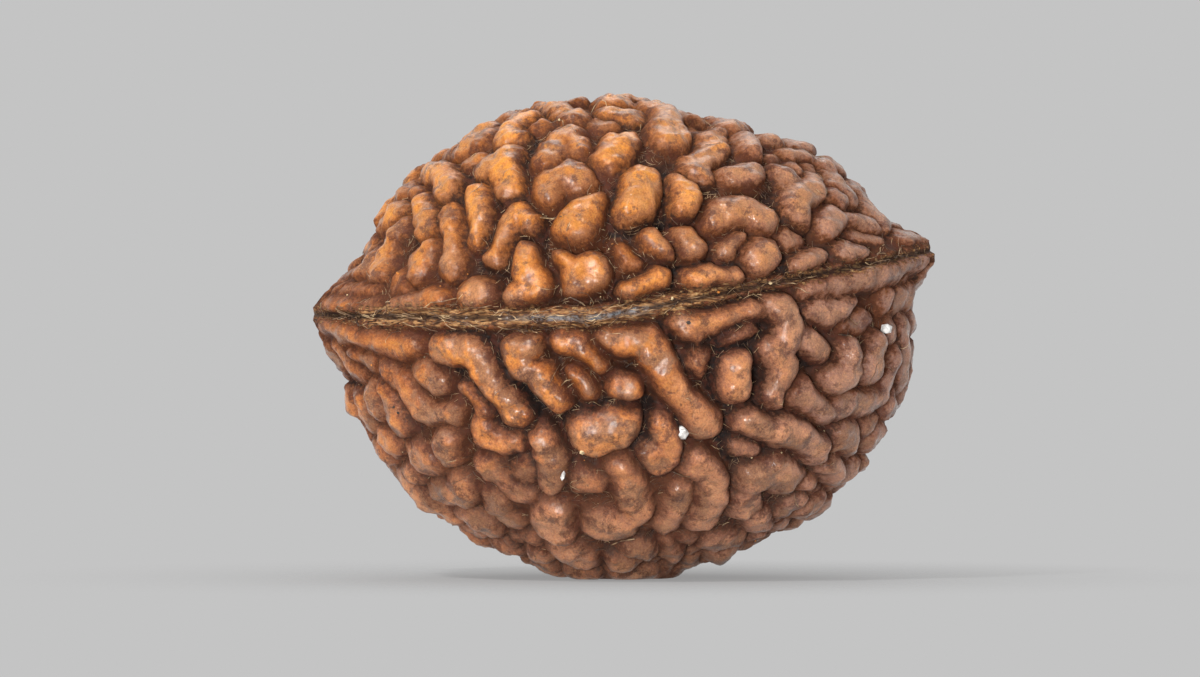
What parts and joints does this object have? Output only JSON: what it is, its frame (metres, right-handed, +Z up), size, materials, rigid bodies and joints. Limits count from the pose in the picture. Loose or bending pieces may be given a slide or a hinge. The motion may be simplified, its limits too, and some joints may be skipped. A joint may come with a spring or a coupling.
{
  "type": "rudraksha bead",
  "caption": "Dried fruit stone used as a bead: a broad lens with a pointed tip at each side, a seam round it, and close knobs and winding ridges all over.",
  "frame": {"origin": "middle of the bounding box in plan, on the plane that the bead rests on", "axes": "+X along the stone's length, from its low tip to its high tip; +Z up; the seam crosses the faces at -Y and +Y"},
  "size_m": [0.0209, 0.0178, 0.0164],
  "materials": {
    "stone": "dry woody fruit stone, oiled by handling: tan to reddish brown crests with a soft shine, near-black furrows, and a straw-coloured fibrous seam"
  },
  "bodies": {
    "root": {"bead": "stone"}
  },
  "joints": []
}
